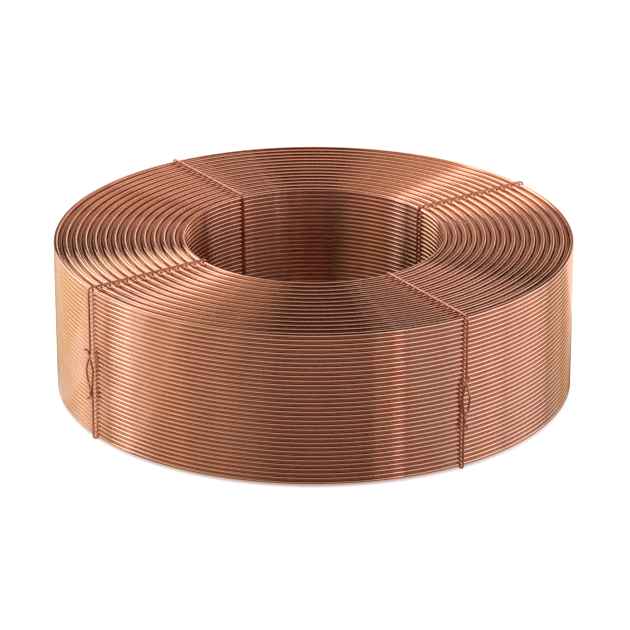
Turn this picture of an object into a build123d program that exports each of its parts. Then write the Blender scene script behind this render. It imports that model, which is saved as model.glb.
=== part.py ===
from build123d import *
import os
from math import acos, atan2, ceil, cos, degrees, hypot, radians, sin

# A level-wound coil of copper tube that stands on its end, bound by four tie wires.
# Millimetres, +Z up along the coil's axis, origin on the floor at the middle of the coil.

# The wound tube
tube_diameter = 9.52
bore_diameter = 537.8       # between the crests of the innermost layer
layer_gap = 0.61            # left between two layers
groove_width = 0.6          # least width at the foot of the groove between two turns
row_count = 34              # turns in each high layer, the low layers have one fewer
layer_count = 27            # odd, so that the first and the last layer are high ones
chord_angle = 36            # most degrees of a turn's round that one chord spans, to keep the many turns light

# The tie wires
wire_diameter = 4.5
tie_clearance = 0.25        # between a tie wire and the turns that it crosses
face_slack = 2.75           # between a tie's outer run and the turns, as the twist leaves it loose there
run_offset = 5.0            # sideways, between a tie's upper and lower run
knot_length = 76.0          # between the two places where the ends of a tie cross
knot_eye = 13.0             # sideways, between the two strands, centre to centre, at the knot's middle
knot_bulge = 7.5            # of the upper strand away from the coil at the knot's middle
crossing_gap = 0.7          # between the two strands where they cross
crossing_reach = 3.6        # of the outer strand, sideways, to either side of a crossing
crossing_lead = 9.0         # from a crossing to where its outer strand leaves its height, inside the knot
crossing_exit = 5.0         # from a crossing to where its outer strand has crossed, outside the knot
lower_end_drop = 20.0       # of the lower cut end past its crossing
end_reach = 8.0             # of a cut end, away from the coil
end_slope = 2.5             # along the coil's axis over a cut end's reach
knot_bend = 16.0            # radius of the wire's bends in the knot
end_bend = 5.0              # radius of the bend before a cut end

# Places of the ties: the angle from +X about the axis, and the knot's share of the coil's height
front_left_angle = 214.65
front_right_angle = 303.25
rear_left_angle = 124.05
rear_right_angle = 34.6
front_left_knot_share = 0.465
front_right_knot_share = 0.475
rear_left_knot_share = 0.45
rear_right_knot_share = 0.47

# Each tie: its name, its angle, its knot's share, and the way its knot is twisted
ties = [
    ("front_left", front_left_angle, front_left_knot_share, -1),
    ("front_right", front_right_angle, front_right_knot_share, 1),
    ("rear_left", rear_left_angle, rear_left_knot_share, 1),
    ("rear_right", rear_right_angle, rear_right_knot_share, -1),
]

# The coil rests on the ties, which pass under it
coil_base = wire_diameter + tie_clearance
coil_height = row_count * tube_diameter
coil_top = coil_base + coil_height
layer_pitch = tube_diameter + layer_gap
inner_centre = (bore_diameter + tube_diameter) / 2
outer_centre = inner_centre + (layer_count - 1) * layer_pitch
coil_radius = outer_centre + tube_diameter / 2


def row_height(row):
    """Height of a turn's centre in a high layer."""
    return coil_base + tube_diameter * (row + 1 / 2)


def end_turns(row, drop):
    """Centres of the turns on the top or the base, from the outside in, without the corner turns."""
    turns = []
    for layer in range(1, layer_count - 1):
        is_low = layer % 2
        turns.append((outer_centre - layer * layer_pitch, row_height(row) + is_low * drop))
    return turns


def outline_turns():
    """Centres of all turns that show, once round the wound section, anticlockwise."""
    half = tube_diameter / 2
    rows = range(row_count)
    outer_face = [(outer_centre, row_height(row)) for row in rows]
    top = end_turns(row_count - 1, -half)
    bore_face = [(inner_centre, row_height(row)) for row in reversed(rows)]
    base = end_turns(0, half)
    return outer_face + top + bore_face + base[::-1]


def bearing(turn, other):
    """Angle of the line from one turn's centre to another's, in degrees."""
    return degrees(atan2(other[1] - turn[1], other[0] - turn[0]))


def stop_short(turn, other):
    """Angle by which a turn's arc ends before its neighbour, to leave the groove its width."""
    apart = hypot(other[0] - turn[0], other[1] - turn[1])
    return degrees(acos(min(1, (apart - groove_width) / tube_diameter)))


def turn_point(turn, angle):
    """Point on a turn's round at an angle, in the half plane of radius and height."""
    half = tube_diameter / 2
    return (turn[0] + half * cos(radians(angle)), turn[1] + half * sin(radians(angle)))


def turn_round(before, turn, after):
    """Points along the part of a turn's round that shows, from one neighbour's groove to the next."""
    start = bearing(turn, before) + stop_short(turn, before)
    end = bearing(turn, after) - stop_short(turn, after)
    shown = (end - start) % 360
    chord_count = 2 * ceil(shown / (2 * chord_angle))
    return [turn_point(turn, start + shown * step / chord_count) for step in range(chord_count + 1)]


def tube_coil():
    """The coil as one turned solid: a round for every turn that shows, a narrow groove between two."""
    turns = outline_turns()
    outline = []
    for place, turn in enumerate(turns):
        after = turns[(place + 1) % len(turns)]
        outline += turn_round(turns[place - 1], turn, after)
    section = Plane.XZ * make_face(Polyline(*outline, close=True))
    return revolve(section, Axis.Z)


def tie_path(knot_share, twist):
    """Centre line of a tie at angle zero, from one cut end round the wound section to the other."""
    seat = tie_clearance + wire_diameter / 2
    outside = coil_radius + face_slack + wire_diameter / 2
    inside = bore_diameter / 2 - seat
    over = coil_top + seat
    under = coil_base - seat
    side = twist * run_offset / 2
    eye = twist * knot_eye / 2
    beside = twist * crossing_reach
    crossed = outside + wire_diameter + crossing_gap
    middle = coil_base + coil_height * knot_share
    top = middle + knot_length / 2
    foot = middle - knot_length / 2
    upper_end = top + crossing_exit
    lower_end = foot - lower_end_drop
    lower_strand = [
        (crossed + end_reach, beside, upper_end + end_slope),
        (crossed, beside, upper_end),
        (crossed, -beside, top - crossing_lead),
        (outside, -eye, middle),
        (outside, -side, foot),
    ]
    round_section = [
        (outside, -side, under),
        (inside, -side, under),
        (inside, side, over),
        (outside, side, over),
    ]
    upper_strand = [
        (outside, side, top),
        (outside + knot_bulge, eye, middle),
        (crossed, beside, foot + crossing_lead),
        (crossed, -beside, foot - crossing_exit),
        (crossed, -beside, lower_end),
        (crossed + end_reach, -beside, lower_end - end_slope),
    ]
    corner_bend = tube_diameter / 2 + seat
    lower_bends = [end_bend] + [knot_bend] * 3
    corner_bends = [corner_bend] * len(round_section)
    upper_bends = [knot_bend] * 4 + [end_bend]
    points = lower_strand + round_section + upper_strand
    return FilletPolyline(*points, radius=lower_bends + corner_bends + upper_bends)


def tie_wire(angle, knot_share, twist):
    """One tie: a round wire along its path, turned to its place round the coil."""
    path = tie_path(knot_share, twist)
    section = Plane(origin=path @ 0, z_dir=path % 0) * Circle(wire_diameter / 2)
    wire = sweep(section, path=path)
    return Rot(0, 0, angle) * wire


os.makedirs("parts", exist_ok=True)
export_step(tube_coil(), "parts/tube_coil.step")
for place, angle, knot_share, twist in ties:
    export_step(tie_wire(angle, knot_share, twist), f"parts/tie_wire_{place}.step")
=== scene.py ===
import math
import random

import bpy
import numpy as np
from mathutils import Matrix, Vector


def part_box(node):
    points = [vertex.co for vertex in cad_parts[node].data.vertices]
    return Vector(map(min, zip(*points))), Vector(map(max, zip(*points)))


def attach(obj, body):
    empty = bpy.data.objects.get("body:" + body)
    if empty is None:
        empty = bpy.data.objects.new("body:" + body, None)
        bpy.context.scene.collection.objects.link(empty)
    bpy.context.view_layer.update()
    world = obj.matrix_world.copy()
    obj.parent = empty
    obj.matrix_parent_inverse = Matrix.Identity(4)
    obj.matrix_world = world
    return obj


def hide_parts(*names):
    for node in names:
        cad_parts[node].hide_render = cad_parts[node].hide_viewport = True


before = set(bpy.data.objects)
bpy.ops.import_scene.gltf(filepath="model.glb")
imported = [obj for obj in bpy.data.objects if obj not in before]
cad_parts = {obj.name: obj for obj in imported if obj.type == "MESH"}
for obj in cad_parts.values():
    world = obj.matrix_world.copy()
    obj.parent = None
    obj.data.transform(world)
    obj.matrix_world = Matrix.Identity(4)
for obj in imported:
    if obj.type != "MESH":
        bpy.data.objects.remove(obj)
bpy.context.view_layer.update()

# The winding, as the frame's coil has it. Metres.
ROW_COUNT = 34              # turns in each high layer
LAYER_COUNT = 27            # from the outside in, every second one is low, by half a turn
LAYER_GAP = 0.00061         # between two layers
BODY = "root"

# Steps round the coil and round the tube's section in each group of turns
OUTER_STEPS = (180, 16)
BORE_STEPS = (132, 16)
TOP_STEPS = (192, 20)
SECOND_STEPS = (132, 10)
BASE_STEPS = (132, 12)

# Small differences between the turns
TURN_SEED = 11
RADIUS_SPREAD = 0.00006     # of a turn's radius, inwards from its true place

# Colours of the copper and of the light, linear
COPPER = (0.88, 0.50, 0.37)
COPPER_DEEP = (0.84, 0.44, 0.31)
COPPER_STAIN = (0.62, 0.27, 0.17)
WIRE_COPPER = (0.80, 0.40, 0.28)
WIRE_DEEP = (0.62, 0.26, 0.17)
WHITE = (1.0, 1.0, 1.0)
WARM = (1.0, 0.85, 0.60)
GOLD = (1.0, 0.92, 0.45)
AMBER = (1.0, 0.78, 0.50)
ROSE = (1.0, 0.72, 0.58)
RUST = (1.0, 0.60, 0.42)
COOL = (0.84, 1.0, 1.06)

# The tube's surface: drawn lines along it, a tone of its own on each turn, and faint clouds
LINE_SCALE = 2600.0         # per metre across a turn's section
LINE_DETAIL = 2.0
LINE_RANGE = (0.3, 0.7)     # of the lines' noise, which gives the roughness below
LINE_ROUGHNESS = (0.07, 0.11)
LINE_BUMP = 0.05            # strength of the lines' relief
LINE_DEPTH = 0.00005        # metres
TURN_DEEP_SHARE = 0.35      # most of the deep copper in a turn's own tone
CLOUD_SCALE = 9.0           # per metre
CLOUD_DETAIL = 3.0
CLOUD_RANGE = (0.4, 0.8)    # of the clouds' noise, which adds the roughness below
CLOUD_ROUGHNESS = (0.0, 0.03)
STAIN_RANGE = (0.55, 0.80)  # of the clouds' noise, from no stain to a full one
STAIN_SHARE = 0.35          # of the stain's colour in a full stain

# The tie wires' surface
WIRE_CLOUD_SCALE = 60.0     # per metre
WIRE_DEEP_RANGE = (0.35, 0.75)  # of the clouds' noise, from bright wire to handled wire
WIRE_ROUGH_RANGE = (0.3, 0.8)   # of the same noise, which gives the roughness below
WIRE_ROUGHNESS = (0.20, 0.34)

# Places of the colour sockets on a Mix node: the two colours that go in, and the result
MIX_COLOURS = (6, 7)
MIX_RESULT = 2

# The camera, at the photo's angle. Metres, degrees, and millimetres for the lens and the sensor.
CAMERA_AIM = (0.0024, 0.0, 0.1453)
CAMERA_DISTANCE = 7.38
CAMERA_AZIMUTH = -90.0
CAMERA_ELEVATION = 22.49
CAMERA_LENS = 200.5
SENSOR_WIDTH = 36.0

# The studio. Metres.
FLOOR_SIZE = 60.0
FLOOR_ALBEDO = 0.80
GLOW_NEAR = 0.90            # added near the coil to what the lamps give, so that the floor reads as white
GLOW_FAR = 1.0              # the same, where no lamp reaches
GLOW_REACH = (1.2, 5.0)     # from the axis, where the one goes over into the other
PAINTED_FOOT_SHADE = (0.520, 0.546)  # from the axis, where the ground comes out from under the coil and its glow fades in: painted shade at the coil's foot, and no glow in the bore
WALL_RADIUS = 28.0
WALL_HEIGHT = 6.0
WALL_STEPS = 96
SKY_LEVEL = 0.03
SKY_COLOUR = (1.0, 0.75, 0.65)
LAMP_DISTANCE = 4.0
CARD_LIFT = 0.001           # above the floor
CARD_RADII = (0.543, 2.0)   # from the axis, of a card on the floor
FLAG_RADIUS = 4.6           # from the axis, of a card that stands
FLAG_HEIGHT = 1.12
CARD_STEPS = 24             # round the bend of either kind of card

# Each soft box: its azimuth from +X, its elevation and half its spread either way, in degrees, its level
# and colour, and its distance where that isn't the usual one
LAMPS = [
    ("front_right_box", 298, 12, 4, 12, 0.55, WHITE),
    ("front_right_strip", 304, 12, 2, 13, 1.40, WHITE),
    ("right_front_box", 319, 18, 11, 18, 0.54, WHITE),
    ("right_mid_box", 342, 18, 11, 18, 1.00, WHITE),
    ("right_box", 8, 18, 14, 18, 0.92, WHITE),
    ("back_right_box", 43, 12, 20, 12, 0.40, AMBER),
    ("back_low_box", 72, 8, 17, 8, 0.50, WARM),
    ("back_near_panel", 90, 40, 26, 22, 0.38, ROSE, 1.24),
    ("back_high_box", 95, 48, 20, 14, 1.00, ROSE),
    ("back_left_high_box", 134, 41, 16, 17, 1.75, COOL),
    ("back_left_box", 141, 19, 13, 7, 1.05, GOLD),
    ("left_box", 166, 13, 10, 12, 0.60, GOLD),
    ("left_strip", 185, 18, 6, 20, 1.75, COOL),
    ("left_front_box", 206, 20, 12, 20, 0.50, WARM),
    ("left_high_box", 206, 52, 24, 11, 0.55, WARM),
    ("front_left_box", 227, 20, 8, 20, 0.20, WARM),
]

# Glowing cards that only reflections show are painted reflections: the dark ones paint the shaded ground
# near the coil, the bright ones paint light
# Each card that only reflections show, on the floor: its first and last azimuth, its level and colour
CARDS = [
    ("front_card", 225, 300, 0.20, RUST),
    ("front_left_card", 211, 225, 0.50, WARM),
    ("left_light_card", 199, 211, 0.80, WHITE),
    ("left_front_card", 192, 199, 0.50, WARM),
    ("left_strip_card", 176, 192, 0.90, WHITE),
    ("left_card", 105, 176, 0.60, GOLD),
    ("right_card", 300, 355, 0.22, WHITE),
    ("right_far_card", 355, 390, 0.26, AMBER),
]

# The same for cards that stand behind the soft boxes, painted reflections of darker and warmer parts of the
# studio
FLAGS = [
    ("back_left_flag_card", 97, 128, 0.10, WARM),
    ("back_right_flag_card", 36, 66, 0.75, AMBER),
]


def coil_sizes():
    """Sizes of the winding, from the frame's coil."""
    low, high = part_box("tube_coil")
    tube = (high.z - low.z) / ROW_COUNT
    radius = min(-low.x, -low.y, high.x, high.y)
    return {"tube": tube, "outer": radius - tube / 2, "pitch": tube + LAYER_GAP, "base": low.z}


def layer_radius(coil, layer):
    """Radius of the centre line of a layer's turns, counted from the outside in."""
    return coil["outer"] - layer * coil["pitch"]


def row_height(coil, row):
    """Height of the centre line of a high layer's turn, counted from the base up."""
    return coil["base"] + coil["tube"] * (row + 0.5)


def face_turns(coil, layer):
    """Radius and height of every turn of a high layer."""
    return [(layer_radius(coil, layer), row_height(coil, row)) for row in range(ROW_COUNT)]


def end_turns(coil, row, low_step):
    """Radius and height of the turns of one row between the outermost and the innermost layer."""
    turns = []
    for layer in range(1, LAYER_COUNT - 1):
        is_low = layer % 2
        turns.append((layer_radius(coil, layer), row_height(coil, row) + is_low * low_step))
    return turns


def turn_points(turn, tube, around, across):
    """Points of one closed turn, a ring of round section."""
    radius, height = turn
    round_angle = np.arange(around) * math.tau / around
    section_angle = np.arange(across) * math.tau / across
    reach = radius + tube / 2 * np.cos(section_angle)
    x = np.outer(np.cos(round_angle), reach)
    y = np.outer(np.sin(round_angle), reach)
    z = np.broadcast_to(height + tube / 2 * np.sin(section_angle), x.shape)
    return np.stack([x, y, z], axis=-1).reshape(-1, 3)


def turn_faces(around, across):
    """Four-sided faces of one closed turn, as places in its list of points."""
    i, j = np.meshgrid(np.arange(around), np.arange(across), indexing="ij")
    i_next = (i + 1) % around
    j_next = (j + 1) % across
    corners = [i * across + j, i_next * across + j, i_next * across + j_next, i * across + j_next]
    return np.stack(corners, axis=-1).reshape(-1, 4)


def make_turns(name, coil, turns, steps, material, chance):
    """One piece of many turns, each with its own tone."""
    around, across = steps
    points = []
    tones = []
    for radius, height in turns:
        moved = radius - RADIUS_SPREAD * chance.random()
        points.append(turn_points((moved, height), coil["tube"], around, across))
        tones.append(np.full(around * across, chance.random()))
    one_turn = turn_faces(around, across)
    faces = [one_turn + place * around * across for place in range(len(turns))]
    mesh = bpy.data.meshes.new(name)
    mesh.from_pydata(np.concatenate(points).tolist(), [], np.concatenate(faces).tolist())
    mesh.polygons.foreach_set("use_smooth", [True] * len(mesh.polygons))
    tone = mesh.attributes.new("tone", "FLOAT", "POINT")
    tone.data.foreach_set("value", np.concatenate(tones))
    mesh.materials.append(material)
    piece = bpy.data.objects.new(name, mesh)
    bpy.context.scene.collection.objects.link(piece)
    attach(piece, BODY)
    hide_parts("tube_coil")


def build_coil(material):
    """All turns that show: the outer face, the bore, the two ends and the row under the top."""
    coil = coil_sizes()
    chance = random.Random(TURN_SEED)
    half = coil["tube"] / 2
    top_row = ROW_COUNT - 1
    make_turns("outer_turns", coil, face_turns(coil, 0), OUTER_STEPS, material, chance)
    make_turns("bore_turns", coil, face_turns(coil, LAYER_COUNT - 1), BORE_STEPS, material, chance)
    make_turns("top_turns", coil, end_turns(coil, top_row, -half), TOP_STEPS, material, chance)
    make_turns("second_turns", coil, end_turns(coil, top_row - 1, -half), SECOND_STEPS, material, chance)
    make_turns("base_turns", coil, end_turns(coil, 0, half), BASE_STEPS, material, chance)


def new_material(name):
    """An empty node material with its output."""
    material = bpy.data.materials.new(name)
    material.use_nodes = True
    tree = material.node_tree
    tree.nodes.clear()
    return material, tree, tree.nodes.new("ShaderNodeOutputMaterial")


def math_node(tree, operation, *values):
    """A Math node on other nodes' outputs."""
    node = tree.nodes.new("ShaderNodeMath")
    node.operation = operation
    for value, socket in zip(values, node.inputs):
        tree.links.new(value, socket)
    return node.outputs[0]


def noise_node(tree, vector, scale, detail):
    """A noise texture's value."""
    node = tree.nodes.new("ShaderNodeTexNoise")
    node.inputs["Scale"].default_value = scale
    node.inputs["Detail"].default_value = detail
    tree.links.new(vector, node.inputs["Vector"])
    return node.outputs["Fac"]


def map_node(tree, value, source, target):
    """A value moved from one range to another, held at its ends."""
    node = tree.nodes.new("ShaderNodeMapRange")
    tree.links.new(value, node.inputs["Value"])
    names = ("From Min", "From Max", "To Min", "To Max")
    for name, limit in zip(names, (*source, *target)):
        node.inputs[name].default_value = limit
    return node.outputs["Result"]


def mix_colours(tree, factor, first, second):
    """A mix of two colours, each a plain colour or another node's output."""
    node = tree.nodes.new("ShaderNodeMix")
    node.data_type = "RGBA"
    tree.links.new(factor, node.inputs["Factor"])
    for place, value in zip(MIX_COLOURS, (first, second)):
        if isinstance(value, tuple):
            node.inputs[place].default_value = (*value, 1.0)
        else:
            tree.links.new(value, node.inputs[place])
    return node.outputs[MIX_RESULT]


def axis_distance(tree, place):
    """Distance of a place from the coil's axis, and its height."""
    parts = tree.nodes.new("ShaderNodeSeparateXYZ")
    tree.links.new(place, parts.inputs[0])
    x, y, z = parts.outputs
    square = math_node(tree, "ADD", math_node(tree, "MULTIPLY", x, x), math_node(tree, "MULTIPLY", y, y))
    return math_node(tree, "SQRT", square), z


def drawn_coordinates(tree):
    """Place on a turn's section, the same all along the turn, so that a noise on it runs as drawn lines."""
    place = tree.nodes.new("ShaderNodeTexCoord").outputs["Object"]
    section = tree.nodes.new("ShaderNodeCombineXYZ")
    for part, socket in zip(axis_distance(tree, place), section.inputs):
        tree.links.new(part, socket)
    return place, section.outputs[0]


def copper_tube_material():
    """Bright drawn copper: fine lines along the tube, a tone of its own on each turn, faint clouds."""
    material, tree, output = new_material("copper_tube")
    shader = tree.nodes.new("ShaderNodeBsdfPrincipled")
    shader.inputs["Metallic"].default_value = 1.0
    place, section = drawn_coordinates(tree)
    lines = noise_node(tree, section, LINE_SCALE, LINE_DETAIL)
    clouds = noise_node(tree, place, CLOUD_SCALE, CLOUD_DETAIL)
    tone = tree.nodes.new("ShaderNodeAttribute")
    tone.attribute_name = "tone"
    turn_mix = map_node(tree, tone.outputs["Fac"], (0.0, 1.0), (0.0, TURN_DEEP_SHARE))
    colour = mix_colours(tree, turn_mix, COPPER, COPPER_DEEP)
    stain = map_node(tree, clouds, STAIN_RANGE, (0.0, STAIN_SHARE))
    tree.links.new(mix_colours(tree, stain, colour, COPPER_STAIN), shader.inputs["Base Color"])
    line_rough = map_node(tree, lines, LINE_RANGE, LINE_ROUGHNESS)
    cloud_rough = map_node(tree, clouds, CLOUD_RANGE, CLOUD_ROUGHNESS)
    tree.links.new(math_node(tree, "ADD", line_rough, cloud_rough), shader.inputs["Roughness"])
    bump = tree.nodes.new("ShaderNodeBump")
    bump.inputs["Strength"].default_value = LINE_BUMP
    bump.inputs["Distance"].default_value = LINE_DEPTH
    tree.links.new(lines, bump.inputs["Height"])
    tree.links.new(bump.outputs[0], shader.inputs["Normal"])
    tree.links.new(shader.outputs[0], output.inputs["Surface"])
    return material


def copper_wire_material():
    """Copper tie wire: bright, a little darker where it has been handled."""
    material, tree, output = new_material("copper_wire")
    shader = tree.nodes.new("ShaderNodeBsdfPrincipled")
    shader.inputs["Metallic"].default_value = 1.0
    place = tree.nodes.new("ShaderNodeTexCoord").outputs["Object"]
    clouds = noise_node(tree, place, WIRE_CLOUD_SCALE, CLOUD_DETAIL)
    handled = map_node(tree, clouds, WIRE_DEEP_RANGE, (0.0, 1.0))
    tree.links.new(mix_colours(tree, handled, WIRE_COPPER, WIRE_DEEP), shader.inputs["Base Color"])
    rough = map_node(tree, clouds, WIRE_ROUGH_RANGE, WIRE_ROUGHNESS)
    tree.links.new(rough, shader.inputs["Roughness"])
    tree.links.new(shader.outputs[0], output.inputs["Surface"])
    return material


def dress_ties(material):
    """The four ties keep their solids, with a copper wire's surface."""
    for name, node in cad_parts.items():
        if name.startswith("tie_wire"):
            node.data.materials.clear()
            node.data.materials.append(material)
            node.data.polygons.foreach_set("use_smooth", [True] * len(node.data.polygons))


def ground_material():
    """White ground that keeps the coil's shadow; camera, mirrored and seen-through rays see its glow."""
    material, tree, output = new_material("white_ground")
    diffuse = tree.nodes.new("ShaderNodeBsdfDiffuse")
    diffuse.inputs["Color"].default_value = (FLOOR_ALBEDO, FLOOR_ALBEDO, FLOOR_ALBEDO, 1.0)
    path = tree.nodes.new("ShaderNodeLightPath")
    seen = math_node(tree, "MAXIMUM", path.outputs["Is Camera Ray"], path.outputs["Is Glossy Ray"])
    seen = math_node(tree, "MAXIMUM", seen, path.outputs["Is Transmission Ray"])
    from_axis = axis_distance(tree, tree.nodes.new("ShaderNodeTexCoord").outputs["Object"])[0]
    level = map_node(tree, from_axis, GLOW_REACH, (GLOW_NEAR, GLOW_FAR))
    # The glow is off under the coil and in the bore, and fades in at its foot: painted shade round the
    # coil's base
    outside_painted_shade = map_node(tree, from_axis, PAINTED_FOOT_SHADE, (0.0, 1.0))
    glow = tree.nodes.new("ShaderNodeEmission")
    strength = math_node(tree, "MULTIPLY", math_node(tree, "MULTIPLY", seen, level), outside_painted_shade)
    tree.links.new(strength, glow.inputs["Strength"])
    both = tree.nodes.new("ShaderNodeAddShader")
    tree.links.new(diffuse.outputs[0], both.inputs[0])
    tree.links.new(glow.outputs[0], both.inputs[1])
    tree.links.new(both.outputs[0], output.inputs["Surface"])
    return material


def stage_object(name, points, faces, material):
    """A mesh of the studio, which isn't part of the object."""
    mesh = bpy.data.meshes.new(name)
    mesh.from_pydata(points, [], faces)
    mesh.materials.append(material)
    thing = bpy.data.objects.new(name, mesh)
    bpy.context.scene.collection.objects.link(thing)
    return thing


def bent_strip(start, end, steps, rails):
    """Points and faces of a strip bent round the axis; each rail is a radius and a height."""
    points = []
    for step in range(steps + 1):
        angle = math.radians(start + (end - start) * step / steps)
        points += [(radius * math.cos(angle), radius * math.sin(angle), height) for radius, height in rails]
    count = len(rails)
    faces = []
    for step in range(steps):
        for rail in range(count - 1):
            here = step * count + rail
            faces.append((here, here + count, here + count + 1, here + 1))
    return points, faces


def make_ground():
    """The level floor on which the coil stands, and a low wall of the same white far round it."""
    half = FLOOR_SIZE / 2
    white = ground_material()
    stage_object("floor", [(-half, -half, 0), (half, -half, 0), (half, half, 0), (-half, half, 0)],
                 [(0, 1, 2, 3)], white)
    wall = bent_strip(0, 360, WALL_STEPS, [(WALL_RADIUS, 0), (WALL_RADIUS, WALL_HEIGHT)])
    stage_object("wall", *wall, white)


def make_sky():
    """A plain dark studio above the lamps."""
    world = bpy.data.worlds.new("studio_sky")
    world.use_nodes = True
    background = world.node_tree.nodes["Background"]
    background.inputs["Color"].default_value = (*SKY_COLOUR, 1.0)
    background.inputs["Strength"].default_value = SKY_LEVEL
    bpy.context.scene.world = world


def towards(azimuth, elevation):
    """Unit vector from the coil: azimuth in degrees from +X about +Z, elevation above the floor."""
    flat = math.cos(math.radians(elevation))
    return Vector((flat * math.cos(math.radians(azimuth)), flat * math.sin(math.radians(azimuth)),
                   math.sin(math.radians(elevation))))


def make_lamp(name, azimuth, elevation, half_width, half_height, radiance, colour, distance=LAMP_DISTANCE):
    """A soft box that faces the coil and isn't itself in the picture."""
    data = bpy.data.lights.new(name, "AREA")
    data.shape = "RECTANGLE"
    data.size = 2 * distance * math.tan(math.radians(half_width))
    data.size_y = 2 * distance * math.tan(math.radians(half_height))
    data.energy = radiance * math.pi * data.size * data.size_y
    data.color = colour
    lamp = bpy.data.objects.new(name, data)
    direction = towards(azimuth, elevation)
    lamp.location = Vector(CAMERA_AIM) + direction * distance
    lamp.rotation_euler = direction.to_track_quat("Z", "Y").to_euler()
    lamp.visible_camera = False
    bpy.context.scene.collection.objects.link(lamp)


def make_painted_reflection_card(rails, name, start, end, radiance, colour):
    """A bent glowing card that only reflections show: a painted reflection of the studio's shaded sides and
    light patches.
    """
    material, tree, output = new_material(name)
    glow = tree.nodes.new("ShaderNodeEmission")
    glow.inputs["Color"].default_value = (*colour, 1.0)
    glow.inputs["Strength"].default_value = radiance
    tree.links.new(glow.outputs[0], output.inputs["Surface"])
    card = stage_object(name, *bent_strip(start, end, CARD_STEPS, rails), material)
    card.visible_camera = False
    card.visible_diffuse = False
    card.visible_shadow = False


def make_studio():
    """Ground, sky, soft boxes and the glowing cards beside the coil, which paint reflections."""
    make_ground()
    make_sky()
    for lamp in LAMPS:
        make_lamp(*lamp)
    for card in CARDS:
        make_painted_reflection_card([(radius, CARD_LIFT) for radius in CARD_RADII], *card)
    for flag in FLAGS:
        make_painted_reflection_card([(FLAG_RADIUS, CARD_LIFT), (FLAG_RADIUS, FLAG_HEIGHT)], *flag)


def make_camera():
    """The camera, at the photo's viewing angle."""
    data = bpy.data.cameras.new("camera")
    data.lens = CAMERA_LENS
    data.sensor_width = SENSOR_WIDTH
    camera = bpy.data.objects.new("camera", data)
    away = towards(CAMERA_AZIMUTH, CAMERA_ELEVATION)
    camera.location = Vector(CAMERA_AIM) + away * CAMERA_DISTANCE
    camera.rotation_euler = away.to_track_quat("Z", "Y").to_euler()
    bpy.context.scene.collection.objects.link(camera)
    bpy.context.scene.camera = camera


build_coil(copper_tube_material())
dress_ties(copper_wire_material())
make_studio()
make_camera()
bpy.context.scene.view_settings.view_transform = "Standard"
